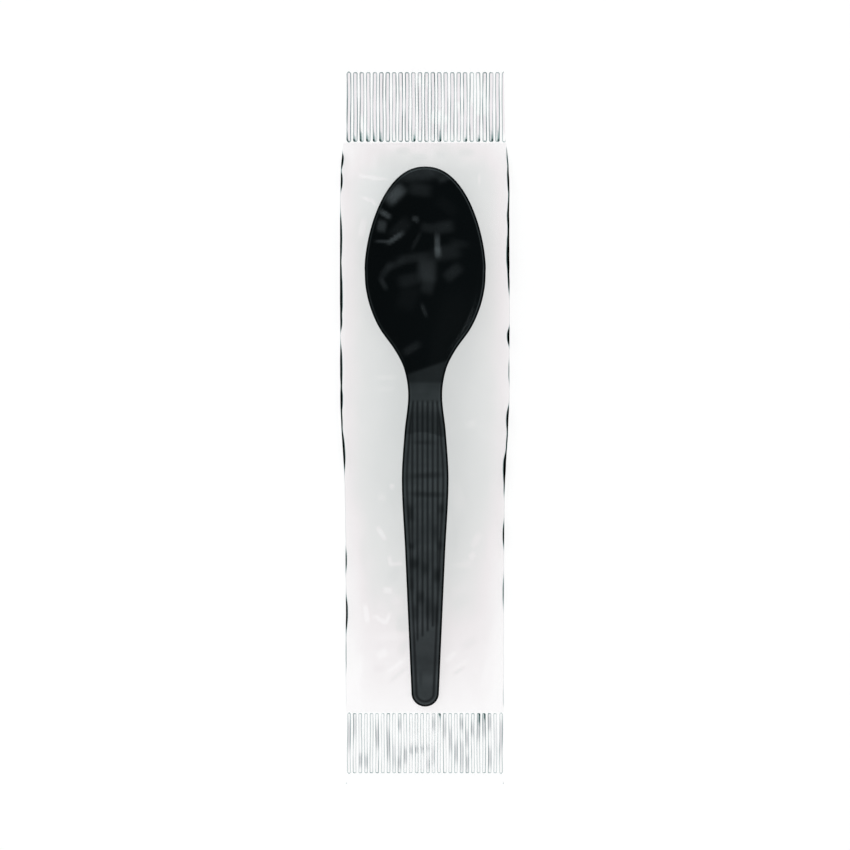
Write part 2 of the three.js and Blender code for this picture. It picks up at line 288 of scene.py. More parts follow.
def make_spoon():
    s = spoon_rows()
    x = spoon_columns(half_width(s))
    s = np.repeat(s[:, None], x.shape[1], axis=1)
    inside = from_edge(x, s)
    base = SPOON_BASE_Z + crest(s)
    grooves = groove_mask(x, s)
    top = base - bowl_hollow(x, s, BOWL_RIM) - GROOVE_DEPTH * grooves - edge_round(inside)
    bottom = base - thickness(s) - bowl_hollow(x, s, 0) + edge_round(inside)
    rows, columns = x.shape
    y = SPOON_TIP_Y - s
    sheets = [np.stack([x + SPOON_X, y, z], axis=-1).reshape(-1, 3) for z in (top, bottom)]
    count = rows * columns
    faces = [grid_faces(rows, columns, turned=True), grid_faces(rows, columns, first=count)]
    for column, turned in ((0, False), (columns - 1, True)):
        upper = np.arange(rows) * columns + column
        wall = np.stack([upper[:-1], upper[1:], upper[1:] + count, upper[:-1] + count], axis=-1)
        faces.append(wall[:, ::-1] if turned else wall)
    upper_face = np.concatenate([satin_and_painted_light_mask(x, s, inside).ravel(), np.zeros(count)])
    # Where the grooves are painted darker: painted shade.
    painted_groove_shade = np.concatenate([grooves.ravel(), np.zeros(count)])
    face = np.concatenate([smooth(inside, 0.3, 0.6).ravel(), np.zeros(count)])
    return mesh_object(
        "teaspoon",
        np.concatenate(sheets),
        np.concatenate(faces),
        masks={"satin_and_painted_light": upper_face, "painted_groove_shade": painted_groove_shade, "face": face},
        weld=WELD_DISTANCE,
    )


# ---------- The film's shape ----------

FILM_GAP = 0.28
DRAPE_ROUNDS = 3000
PAST_EDGE = 0.5  # how far the film stays level past the spoon's sides
TABLE_GAP = 0.02
LAYER = 0.06  # from the back seal, whose two films are welded into one, to the film above it
FLOOR_Z = TABLE_GAP + LAYER
TOP_Z = FLOOR_Z + 0.04  # the upper film where the pack is flat
HALF_LENGTH = (PACK_HIGH[1] - PACK_LOW[1]) / 2
FIN_LEFT, FIN_RIGHT = -4.5, 4.5
FLAT_HALF_WIDTH = 9.5
TOP_COLUMNS, LEFT_COLUMNS, RIGHT_COLUMNS, RING_COLUMNS, FIN_COLUMNS = 204, 73, 50, 9, 5

# The two crimped ends. Their ribs have flat tops and steep edges, which are painted grey, and painted black
# at
# the tube end of the ribs that are listed: painted shade.
TOP_SEAL = {
    "side": 1, "ribs": 25, "pitch": 1.748, "middle": 0.45, "length": 18.9, "margin": 1.5, "half_width": 0.54,
    "edges": 0.96, "dark_left": (0, 1, 2, 3, 4, 5), "dark_right": (10, 14, 18, 20, 22, 23),
}
BOTTOM_SEAL = {
    "side": -1, "ribs": 28, "pitch": 1.523, "middle": 0.05, "length": 16.3, "margin": 2.9, "half_width": 0.42,
    "edges": 1.08, "dark_left": (), "dark_right": (16, 23, 24),
}
RIB_SWAY = 0.05
SEAL_LAND = 0.5  # flat film between the ribs and the tube
# Where the low seal's film is creased and looks milky, as middle x and y, half length and half width, and the
# direction in degrees of the long side.
SEAL_CREASES = [
    (-20.8, -83.6, 5.0, 0.9, 90), (-18.4, -81.4, 3.0, 0.8, 90), (-17.6, -90.6, 1.8, 0.9, 90),
    (-15.9, -91.0, 1.8, 0.9, 90), (-9.9, -86.2, 4.2, 0.9, 90), (-7.6, -89.2, 3.2, 0.9, 90),
    (-5.4, -89.8, 3.2, 1.0, 60), (-1.4, -87.6, 3.6, 1.0, 4), (1.6, -90.6, 2.4, 0.8, 80),
    (7.5, -86.4, 8.0, 1.3, -66), (11.7, -84.4, 4.6, 1.0, 64), (11.6, -91.2, 1.9, 0.8, 90),
    (9.6, -80.6, 1.8, 0.8, 90), (14.3, -82.0, 3.2, 0.8, 90), (16.1, -81.2, 3.2, 0.8, 90),
    (17.5, -80.4, 2.2, 0.8, 90), (17.4, -89.8, 2.6, 0.8, 90), (20.3, -84.0, 5.4, 1.1, 90),
    (-7.0, -80.8, 2.0, 0.9, 90), (-13.0, -84.6, 3.0, 0.6, 90), (2.4, -80.6, 2.0, 0.7, 90),
]
# Places across a rib, in half widths.
FINE_RIB = np.array([-1.18, -1, -0.8, -0.58, 0.58, 0.8, 1, 1.18])
CLOSE_RIB = np.array([-1.2, -0.9, -0.6, 0.6, 0.9, 1.2])
PLAIN_RIB = np.array([-1.18, -0.6, 0.6, 1.18])

film_half_width = through([
    (-97.1, 21.4), (-34, 21.45), (-18, 21.65), (-9, 22.05), (0, 22.62), (9, 22.88), (63, 22.88), (70, 22.7),
    (75, 22.2), (78, 21.8), (95.6, 21.4), (97.1, 21.4),
])
# The stretches where the creases at the left and right sides are fat, as their middle y, half length and how
# fat they are. Fat creases are also painted darker: painted shade.
FAT_CREASES = {
    -1: [(71.5, 2, 0.9), (66, 2.4, 0.85), (50, 6.5, 0.9), (40.5, 3, 0.65), (34, 5, 1.2), (27.5, 2, 0.65),
         (15.5, 5.8, 1), (7, 2.6, 1.05), (2, 3, 0.55), (-6.5, 5, 1), (-36.5, 3, 0.5), (-51, 4.5, 0.8),
         (-62, 4.5, 0.22)],
    1: [(76, 1.5, 0.8), (71, 4, 0.45), (65.5, 3, 0.8), (60.5, 2, 0.5), (56, 3, 1), (51.5, 2, 0.6),
        (46.5, 4, 1.35), (40, 4, 0.75), (24, 2.2, 1.1), (14.5, 3, 0.3), (2, 3, 1), (-4, 3, 0.5),
        (-11, 3.6, 1.3), (-16.5, 2.5, 0.4), (-29.5, 3.4, 0.6), (-45, 4, 0.38), (-74, 3, 0.1)],
}
fold_height = through([(-77, 0.25), (-68, 1.5), (-10, 2.2), (20, 3.1), (62, 3.1), (75.5, 0.25)])


def seal_places(seal):
    """Where a seal's ribs end, outwards and inwards."""
    outer = seal["side"] * (HALF_LENGTH - seal["margin"])
    return outer, outer - seal["side"] * seal["length"]


TUBE_FROM = seal_places(BOTTOM_SEAL)[1] + SEAL_LAND
TUBE_TO = seal_places(TOP_SEAL)[1] - SEAL_LAND
FINE_FROM = 8.0  # over the bowl the rows lie closer together


def tube_share(y):
    """0 in the crimped ends and 1 where the film is a tube."""
    return smooth(y, TUBE_FROM, TUBE_FROM + 3) * smooth(y, TUBE_TO, TUBE_TO - 4)


def film_rows():
    def seal_rows(seal):
        outer, inner = seal_places(seal)
        side = seal["side"]
        ends = np.array([-0.25, 0, 0.1, 0.2, 0.32, 0.45, 0.6, 0.85, 1.3])
        middle = np.linspace(outer - side * 2.2, inner + side * 2.2, 14)
        border = side * (HALF_LENGTH - np.array([0, 0.5, 1]))
        return [*border, *(outer - side * ends), *middle, *(inner + side * ends)]

    tube = [*np.linspace(TUBE_FROM, FINE_FROM, 114), *np.linspace(FINE_FROM, TUBE_TO, 106)[1:]]
    return np.array(sorted([*seal_rows(BOTTOM_SEAL), *tube, *seal_rows(TOP_SEAL)]))


def rib_middles(y, seal):
    """Each rib's middle line, nearly straight, at each y. The ribs run along the last axis."""
    k = np.arange(seal["ribs"])
    phase = np.random.default_rng(11 + seal["ribs"]).uniform(0, 9, seal["ribs"])
    straight = seal["middle"] + (k - (seal["ribs"] - 1) / 2) * seal["pitch"]
    return straight + RIB_SWAY * np.sin(0.35 * np.asarray(y)[..., None] + phase)


def ribbed_columns(y, start, stop, columns, seal, fine):
    """Places across each row, from start to stop, that follow the seal's ribs."""
    across_rib = (FINE_RIB if seal is TOP_SEAL else CLOSE_RIB) if fine else PLAIN_RIB
    places = rib_middles(y, seal)[:, :, None] + seal["half_width"] * across_rib
    places = places.reshape(len(y), -1)
    kept = (places.min(axis=0) > start.max() + 0.1) & (places.max(axis=0) < stop.min() - 0.1)
    places = places[:, kept]
    spare = columns - places.shape[1]
    left, right = places[:, 0] - start, stop - places[:, -1]
    before = int(np.clip(round(spare * left.mean() / (left + right).mean()), 1, spare - 1))
    after = spare - before
    first = start[:, None] + left[:, None] * np.arange(before) / before
    last = places[:, -1:] + right[:, None] * np.arange(1, after + 1) / after
    return np.concatenate([first, places, last], axis=1)


def columns_across(y, start, stop, columns, fine=False):
    """Places across each row: even over the tube, and following the ribs in the crimped ends."""
    start, stop = start + 0 * y, stop + 0 * y
    even = start[:, None] + (stop - start)[:, None] * np.linspace(0, 1, columns)
    x = even
    for seal in (TOP_SEAL, BOTTOM_SEAL):
        share = smooth(seal["side"] * (y - seal_places(seal)[1]), -4.3, -0.3)[:, None]
        x = x + share * (ribbed_columns(y, start, stop, columns, seal, fine) - even)
    return x


def rib_marks(x, y, seal):
    """The height of a seal's ribs, how hazy they are and how dark their steep edges are painted (painted
    shade), at each place.
    """
    outer, inner = seal_places(seal)
    half = seal["half_width"]
    low, high = min(outer, inner) + half, max(outer, inner) - half
    beyond = np.maximum(0, np.maximum(low - y, y - high)) / half
    from_tube = seal["side"] * (y - inner)
    middles = rib_middles(y, seal)
    random = np.random.default_rng(31 + seal["ribs"])
    height, haze, edge = (np.zeros_like(x) for _ in range(3))
    for k in range(seal["ribs"]):
        tall, clear_end = random.uniform(0.3, 0.42), random.uniform(0, 1)
        left_tone, right_tone = random.uniform(0.55, 1, 2)
        across = (x - middles[..., k]) / half
        reach = np.hypot(across, beyond)
        top = smooth(reach, 1.18, 0.6)
        height = np.maximum(height, tall * (0.85 + 0.15 * lumps(0 * x, y, (1, 3.5), 5 + k)) * top)

        if seal is TOP_SEAL:
            milk_and_painted_sheen = 1 - smooth(lumps(0 * x + 0.55 * k, y + 0.5 * k, (1, 4), 50), 0.42, 0.72)
        else:
            creased = sum(spot(middles[..., k], y, *crease) for crease in SEAL_CREASES)
            milk_and_painted_sheen = 0.1 + 0.9 * np.clip(creased, 0, 1)
        near_tube = 1 - clear_end * smooth(from_tube, 3.4, 1.2)
        haze = np.maximum(haze, np.clip(milk_and_painted_sheen * near_tube, 0, 1) * smooth(reach, 1.18, 0.95))

        # Painted shade: the rib's steep edges are painted grey, and black at the tube end of the listed ribs.
        tone = np.where(across < 0, left_tone, right_tone) * seal["edges"]
        tone = tone * (0.85 + 0.35 * lumps(0 * x + 1.9 * k + 0.9 * np.sign(across), y, (1, 3.5), 60))
        if seal is BOTTOM_SEAL:
            tone = tone * (0.75 + 0.5 * milk_and_painted_sheen)
        black = (k in seal["dark_left"]) * smooth(across, 0.1, -0.5)
        black = black + (k in seal["dark_right"]) * smooth(across, -0.1, 0.5)
        hook = random.uniform(2, 6)
        black = black * np.maximum(smooth(from_tube, 1.1, 0.6), 0.8 * smooth(from_tube, hook, 0.3))
        tone = np.clip(np.maximum(tone, black), 0, 1)
        inward = smooth(reach, 0.64 - 0.36 * black, 0.84 - 0.3 * black)
        edge = np.maximum(edge, tone * inward * smooth(reach, 1.18, 1.02))
        # Painted shade: the low seal's creases are painted a little darker too.
        if seal is BOTTOM_SEAL:
            edge = np.maximum(edge, 0.2 * np.clip(milk_and_painted_sheen - 0.1, 0, 1) * smooth(reach, 1.18, 0.95))
    return height, haze, edge


def both_seals(x, y):
    """The marks of both crimped ends together."""
    return [sum(marks) for marks in zip(*(rib_marks(x, y, seal) for seal in (TOP_SEAL, BOTTOM_SEAL)))]


def spoon_top(x, y):
    """The height that the film has to clear, and far below everything outside the spoon."""
    x, s = x - SPOON_X, SPOON_TIP_Y - y
    over = (s > 0) & (s < SPOON_LENGTH) & (np.abs(x) < half_width(np.clip(s, 0, SPOON_LENGTH)) + PAST_EDGE)
    z = SPOON_BASE_Z + crest(s) - bowl_hollow(x, s, BOWL_RIM)
    return np.where(over, z + FILM_GAP, -10)


def bridge(x, y):
    """Past the bowl's tip the film runs straight down to the seal."""
    tip = SPOON_BASE_Z + crest(0) + FILM_GAP
    share = (TUBE_TO - y) / (TUBE_TO - SPOON_TIP_Y)
    from_middle = np.abs(x) / 13
    return np.where(y > SPOON_TIP_Y - 1.2, tip * np.minimum(share, 1) * (1 - from_middle ** 2), -10)


def drape(x, y, edge):
    """A taut sheet over the spoon, held at its four edges: its height at each point of the grid."""
    rest = np.maximum(spoon_top(x, y), bridge(x, y))
    z = np.linspace(*edge, x.shape[1], axis=1)
    z[0, :] = z[-1, :] = TOP_Z
    z = np.maximum(z, rest)
    dx = np.diff(x, axis=1).mean(axis=1)[1:-1, None]
    up, down = np.diff(y[1:, 0])[:, None], np.diff(y[:-1, 0])[:, None]
    side = 1 / dx ** 2
    ahead, behind = 2 / (up * (up + down)), 2 / (down * (up + down))
    total = 2 * side + ahead + behind
    for _ in range(DRAPE_ROUNDS):
        pull = side * (z[1:-1, 2:] + z[1:-1, :-2]) + ahead * z[2:, 1:-1] + behind * z[:-2, 1:-1]
        z[1:-1, 1:-1] = np.maximum(pull / total, rest[1:-1, 1:-1])
    return z


# Small facets of the film over the bowl, as middle x and y, half length and half width, the direction in
# degrees of the long side, and how strong a painted sheen each one gets, in hundredths: a painted reflection.
FACETS = [
    (-7.9, 62.2, 2.8, 1.6, 45, 6.1), (-10.7, 56.9, 1.6, 0.7, -31, 5.6), (-11.6, 53.7, 1.5, 1.2, 80, 3.4),
    (-11.2, 49.5, 2.0, 0.4, -5, 3.2), (-7.9, 50.5, 2.4, 0.6, 34, 5.4), (-2.5, 55.6, 0.9, 0.7, -20, 2.8),
    (-6.7, 53.0, 3.2, 1.7, 45, 0.7), (5.2, 53.4, 2.5, 1.6, 10, 1.3), (1.0, 53.2, 2.0, 1.2, -10, 1.0),
    (3.4, 48.4, 2.9, 0.75, 92, 5.4), (3.6, 46.7, 1.3, 1.0, 90, 2.4), (-2.3, 49.7, 2.5, 0.5, 62, 0.9),
    (6.0, 46.6, 3.6, 2.0, 8, 1.1), (-2.6, 45.2, 4.6, 1.2, 8, 1.1), (0.6, 41.8, 2.9, 2.4, 90, 2.4),
    (0.9, 37.9, 2.4, 1.7, 75, 1.3), (7.6, 41.2, 2.6, 1.5, 40, 1.3), (-10.4, 41.8, 2.4, 0.9, 55, 1.1),
    (-11.2, 38.2, 1.7, 0.7, -60, 1.5), (-7.7, 43.4, 2.6, 0.9, 25, 0.9), (-4.2, 39.2, 3.0, 1.6, 12, 0.9),
    (-2.4, 68.1, 4.9, 2.2, 2, 2.1), (2.9, 68.2, 2.6, 1.4, -20, 1.3), (-1.4, 63.6, 3.0, 1.7, -8, 1.2),
    (5.5, 66.6, 1.9, 0.8, 25, 1.5), (-0.2, 31.0, 1.7, 0.55, -68, 1.5), (-3.5, 20.7, 2.5, 1.0, 31, 1.1),
    (9.4, 49.0, 2.6, 1.0, -12, 0.5), (6.0, 59.0, 3.2, 1.6, -40, 0.2), (-4.5, 34.5, 3.5, 2.6, 70, 0.3),
]
FACET_RELIEF = 0.12
# Painted glints and painted shade on the film: marks painted lighter or darker than the film round them, as
# middle x and y, half length and half width, the direction in degrees of the long side, and by how many
# levels of 255 they are lighter.
PAINTED_GLINTS_AND_SHADE = [
    (-16.3, 67.3, 1.6, 0.4, -8, 12), (-12.6, 66.6, 2.4, 0.5, -6, 12), (-15.7, 61.0, 1.2, 0.45, -20, 9),
    (-13.9, 60.2, 1.1, 0.45, -50, 9), (-16.8, 53.2, 2.4, 0.9, 80, 8), (14.7, 66.3, 1.5, 0.4, 90, 5),
    (-5.9, 74.3, 1.8, 1.0, 0, -5), (-1.3, 72.4, 2.0, 1.0, 0, -4), (4.1, 73.0, 1.5, 0.9, 0, -4),
    (11.3, 73.8, 2.2, 1.0, 0, -4), (-8.2, 75.3, 2.2, 0.6, 0, 4), (11.9, 68.7, 3.0, 2.0, 30, -3),
    (-10.4, 12.9, 3.2, 0.7, 3, 4), (-10.8, 9.8, 2.4, 0.7, 0, 3), (12.4, 0.3, 1.6, 1.1, 20, 4),
    (-8.8, -16.4, 0.7, 0.7, 0, 10), (-11.5, -19.5, 1.1, 1.1, 0, 4), (-11.7, -29.1, 1.9, 0.65, -58, 13),
    (-9.4, -36.6, 1.3, 0.55, -80, 9), (-7.6, -37.3, 1.6, 0.6, 10, 9), (-10.0, -44.5, 1.2, 0.6, -5, 12),
    (-15.8, -50.9, 2.2, 0.65, -82, 15), (-12.1, -52.4, 1.9, 0.55, -31, 12), (-10.0, -52.1, 1.3, 0.5, 65, 12),
    (-6.2, -53.6, 2.5, 1.5, 90, -5), (-8.4, -40.2, 2.4, 1.5, 80, -3), (-7.3, -47.1, 1.7, 1.5, 0, 3),
    (-11.5, -61.7, 1.5, 1.2, 30, 8), (-9.2, -56.9, 4.5, 1.3, 5, 4), (-12.3, -65.9, 1.6, 1.1, 0, -4),
    (-7.8, -65.0, 3.0, 0.55, 37, 7), (-7.3, -67.4, 3.2, 0.7, 40, -7), (-5.8, -60.1, 2.0, 1.2, 60, -4),
    (8.8, -19.1, 4.0, 1.7, -75, 4), (7.7, -30.6, 3.6, 1.5, 80, -3), (12.7, -35.2, 1.0, 0.8, 45, 6),
    (13.8, -31.0, 2.2, 1.0, 60, 4), (10.0, -37.5, 2.8, 1.0, 5, 3), (9.6, -47.4, 2.6, 1.8, 40, -2),
    (7.0, -62.4, 2.0, 0.7, 40, 7), (11.9, -59.0, 2.4, 1.3, 30, -3), (9.2, -66.2, 1.8, 0.55, 35, -8),
    (9.8, -64.8, 2.2, 0.6, 35, 4), (-18.0, -66.5, 4.0, 0.9, 80, 3), (16.5, -67.0, 4.0, 0.9, 80, 3),
]


def painted_sheen(x, y):
    """The painted sheen of the facets over the bowl: a painted reflection, drawn as a pale diffuse share of
    the film.
    """
    return sum(tone * spot(x, y, *place, sharp=4) for *place, tone in FACETS) / 100


# How pale the film looks along its middle line and how much more at its side folds, and how far it goes from
# there to white at the tube's low and top ends.
MIDDLE_PALE, SIDE_PALE = 0.07, 0.62
LOW_WHITE, TOP_WHITE = 0.93, 0.5
WHITENS_BELOW, WHITENS_ABOVE = -6, 64
PATCH_SPAN = 19.5  # levels of the patches from the darkest film to white, in one layer


def paleness(x, y, painted_glints_and_shade=0.0):
    """From 0 where the film looks darkest to 1 where it looks white, with the painted glints and painted
    shade added.
    """
    pale = MIDDLE_PALE + SIDE_PALE * (np.abs(x) / PACK_HIGH[0]) ** 2.6
    along = y + 1.5 * lumps(x, y, (4, 6), 81)
    low = np.clip((WHITENS_BELOW - along) / (WHITENS_BELOW - TUBE_FROM), 0, 1)
    top = np.clip((along - WHITENS_ABOVE) / (TUBE_TO - WHITENS_ABOVE), 0, 1)
    white = LOW_WHITE * low ** 1.8 + TOP_WHITE * top ** 1.5
    white = white + 0.28 * smooth(np.abs(x), 15.5, 20.5) * smooth(y, -14, -40)
    uneven = 0.03 * lumps(x, y, (5, 8), 82) + 0.02 * lumps(x, y, (2.5, 4), 83)
    return pale + (1 - pale) * np.clip(white, 0, 1) + uneven + painted_glints_and_shade / PATCH_SPAN


def wrinkles(x, y):
    broad = 0.2 * lumps(x, y, (9, 13), 3) + 0.05 * lumps(x, y, (3.2, 5), 4)
    facets = sum(spot(x, y, *place) * min(place[2:4]) for *place, _ in FACETS) * FACET_RELIEF
    from_seal = np.minimum(np.abs(y - TUBE_FROM), np.abs(TUBE_TO - y))
    gathers = 0.12 * np.sin(2 * math.pi * x / 3.4 + 2 * lumps(x, y, (6, 6), 9)) * np.exp(-from_seal / 3.5)
    return broad + facets + gathers


def film_top(y):
    """The upper side of the film, from its left fold to its right one, with its marks."""
    left, left_z = fold_top(y, -1)
    right, right_z = fold_top(y, 1)
    x = columns_across(y, left, right, TOP_COLUMNS, fine=True)
    even = np.linspace(left, right, TOP_COLUMNS, axis=1)
    yy = np.repeat(y[:, None], TOP_COLUMNS, axis=1)
    rows = (y >= TUBE_FROM) & (y <= TUBE_TO)
    draped = drape(even[rows], yy[rows], (left_z[rows], right_z[rows]))
    tube = np.array([np.interp(*row) for row in zip(x[rows], even[rows], draped)])
    tube = np.maximum(tube, spoon_top(x[rows], yy[rows]))
    free = smooth(tube - spoon_top(x[rows], yy[rows]), 0.0, 1.0)
    edge = smooth(np.minimum(x - left[:, None], right[:, None] - x)[rows], 0, 2.6)
    held = smooth(np.minimum(yy[rows] - TUBE_FROM, TUBE_TO - yy[rows]), 0, 2.5)
    tube = np.minimum(tube + wrinkles(x[rows], yy[rows]) * free * edge * held, PACK_HIGH[2] - 0.01)
    z = np.full_like(x, TOP_Z)
    z[rows] = np.maximum(tube, TOP_Z)
    rib_height, haze, painted_dark = both_seals(x, yy)
    # Painted shade: the folds' dark edge is painted on at the pack's low corners.
    corner = smooth(np.abs(x), 20.9, 21.35) * smooth(yy, 0.6 - HALF_LENGTH, 0.2 - HALF_LENGTH)
    return x, z + rib_height, haze, np.maximum(painted_dark, 0.4 * corner)


def fatness(y, side):
    """How fat the crease at one side is, and so how dark it is painted, a painted shade, from 0 to about 1.3.
    """
    return sum(share * np.exp(-np.abs((y - middle) / half) ** 3) for middle, half, share in FAT_CREASES[side])


def side_fold(y, side):
    """Along one side of the tube: the fold's furthest x, its middle height, and its depth and half height."""
    tube = tube_share(y)
    zero = np.zeros_like(y)
    wave = 0.07 * lumps(zero, y, (1, 6), 41 + side) + 0.05 * lumps(zero, y, (1, 2.3), 44 + side)
    x = film_half_width(y) - tube * (0.02 - np.minimum(wave, 0.02))
    half_height = 0.02 + tube * (0.08 + 0.3 * fatness(y, side))
    depth = 0.02 + tube * (0.14 + 0.58 * fatness(y, side))
    z = np.maximum(fold_height(y) * tube, half_height) + FLOOR_Z
    return x, z, depth, half_height


def fold_top(y, side):
    """Where the film's upper side meets a fold: x and height."""
    x, z, depth, height = side_fold(y, side)
    return side * (x - depth), z + height


def half_ring(y, side):
    """The crease at one side, from its top to its bottom, and how dark it is painted: painted shade."""
    x, z, depth, height = (values[:, None] for values in side_fold(y, side))
    turn = np.linspace(math.pi / 2, -math.pi / 2, RING_COLUMNS)[None, 1:-1]
    # Painted shade: the steep part of the fold is painted dark, the more so where the crease is fat.
    tone = np.clip(0.1 + 1.5 * fatness(y, side), 0, 1) * smooth(tube_share(y), 0, 0.5)
    painted_dark = smooth(np.cos(turn), 0, 0.3) * tone[:, None]
    return side * (x - depth + depth * np.cos(turn)), z + height * np.sin(turn), painted_dark


def under_side(y, side, columns):
    """The underside between the fold at one side and the back seal, from left to right."""
    fold_x, fold_z, depth, height = side_fold(y, side)
    x = columns_across(y, *sorted((side * (fold_x - depth), FIN_RIGHT), key=np.min), columns)
    reach, end_z = (fold_x - depth)[:, None], (fold_z - height)[:, None]
    slope = np.clip((side * x - FLAT_HALF_WIDTH) / (reach - FLAT_HALF_WIDTH), 0, 1)
    ribs = both_seals(x, y[:, None] + 0 * x)[0]
    return x, FLOOR_Z + (end_z - FLOOR_Z) * slope ** 1.4 + 0.9 * ribs


def back_seal(y):
    """The back seal, folded flat under the pack, from its free edge to its root."""
    x = np.linspace(FIN_LEFT, FIN_RIGHT, FIN_COLUMNS)[None, :] + 0 * y[:, None]
    return x, TABLE_GAP + 0 * x


def make_film():
    y = film_rows()
    top_x, top_z, haze, painted_dark = film_top(y)
    left_x, left_z, left_dark = half_ring(y, -1)
    right_x, right_z, right_dark = half_ring(y, 1)
    left_under_x, left_under_z = under_side(y, -1, LEFT_COLUMNS)
    right_under_x, right_under_z = under_side(y, 1, RIGHT_COLUMNS)
    seal_x, seal_z = back_seal(y)
    x = np.concatenate(
        [seal_x, left_under_x[:, ::-1], left_x[:, ::-1], top_x, right_x, right_under_x[:, ::-1]], axis=1,
    )
    z = np.concatenate(
        [seal_z, left_under_z[:, ::-1], left_z[:, ::-1], top_z, right_z, right_under_z[:, ::-1]], axis=1,
    )
    rows, columns = x.shape
    yy = np.repeat(y[:, None], columns, axis=1)
    first_top = FIN_COLUMNS + LEFT_COLUMNS + RING_COLUMNS - 2
    top = slice(first_top, first_top + TOP_COLUMNS)
    welded = 1 - smooth(yy, TUBE_FROM - SEAL_LAND, TUBE_FROM) * smooth(yy, TUBE_TO + SEAL_LAND, TUBE_TO)
    welded[:, :FIN_COLUMNS] = 1
    hazy, painted_darkness, milk_and_painted_sheen = (np.zeros((rows, columns)) for _ in range(3))
    hazy[:, top] = haze
    painted_darkness[:, top] = painted_dark
    painted_darkness[:, top.start - RING_COLUMNS + 2:top.start] = left_dark[:, ::-1]
    painted_darkness[:, top.stop:top.stop + RING_COLUMNS - 2] = right_dark
    # Painted glints and painted shade, on the upper side of the film only.
    painted_glints_and_shade = sum(levels * spot(top_x, yy[:, top], *place, sharp=4) for *place, levels in PAINTED_GLINTS_AND_SHADE)
    pale = paleness(x, yy)
    pale[:, top] = paleness(top_x, yy[:, top], painted_glints_and_shade)
    # The painted sheen over the bowl's facets.
    milk_and_painted_sheen[:, top] = painted_sheen(top_x, yy[:, top])
    masks = {"welded": welded, "haze": hazy, "painted_dark": painted_darkness, "pale": pale, "milk_and_painted_sheen": milk_and_painted_sheen}
    return mesh_object(
        "clear_wrapper",
        np.stack([x, yy, z], axis=-1).reshape(-1, 3),
        grid_faces(rows, columns, turned=True),
        masks={name: values.ravel() for name, values in masks.items()},
    )


# ---------- Materials ----------

def new_material(name):
    material = bpy.data.materials.new(name)
    material.use_nodes = True
    material.node_tree.nodes.clear()
    return material, material.node_tree


def node(tree, kind, **settings):
    made = tree.nodes.new(kind)
    for key, value in settings.items():
        if key in made.inputs:
            made.inputs[key].default_value = value
        else:
            setattr(made, key, value)
    return made


def ramp(tree, source, stops):
    """A colour ramp fed by a value, through (place, colour or grey) stops."""
    made = node(tree, "ShaderNodeValToRGB")
    band = made.color_ramp
    while len(band.elements) < len(stops):
        band.elements.new(0.5)
    for element, (place, colour) in zip(band.elements, stops):
        element.position = place
        element.color = (*colour, 1) if isinstance(colour, tuple) else (colour, colour, colour, 1)
    tree.links.new(source, made.inputs[0])
    return made.outputs["Color"]


def math_node(tree, operation, first, second=None):
    made = node(tree, "ShaderNodeMath", operation=operation)
    for slot, value in enumerate((first, second)):
        if isinstance(value, (int, float)):
            made.inputs[slot].default_value = value
        elif value is not None:
            tree.links.new(value, made.inputs[slot])
    return made.outputs[0]


def mix_colour(tree, share, first, second, blend="MIX"):
    made = node(tree, "ShaderNodeMix", data_type="RGBA", blend_type=blend)
    for slot, value in ((0, share), (6, first), (7, second)):
        if isinstance(value, tuple):
            made.inputs[slot].default_value = (*value, 1)
        elif isinstance(value, (int, float)):
            made.inputs[slot].default_value = value
        else:
            tree.links.new(value, made.inputs[slot])
    return made.outputs[2]


def place_noise(tree, scale, stretch, detail=2.0):
    """Noise over the object's own place, stretched along each axis."""
    where = node(tree, "ShaderNodeTexCoord")
    mapping = node(tree, "ShaderNodeMapping")
    mapping.inputs["Scale"].default_value = stretch
    made = node(tree, "ShaderNodeTexNoise", Scale=scale, Detail=detail)
    tree.links.new(where.outputs["Object"], mapping.inputs["Vector"])
    tree.links.new(mapping.outputs[0], made.inputs["Vector"])
    return made.outputs["Fac"]


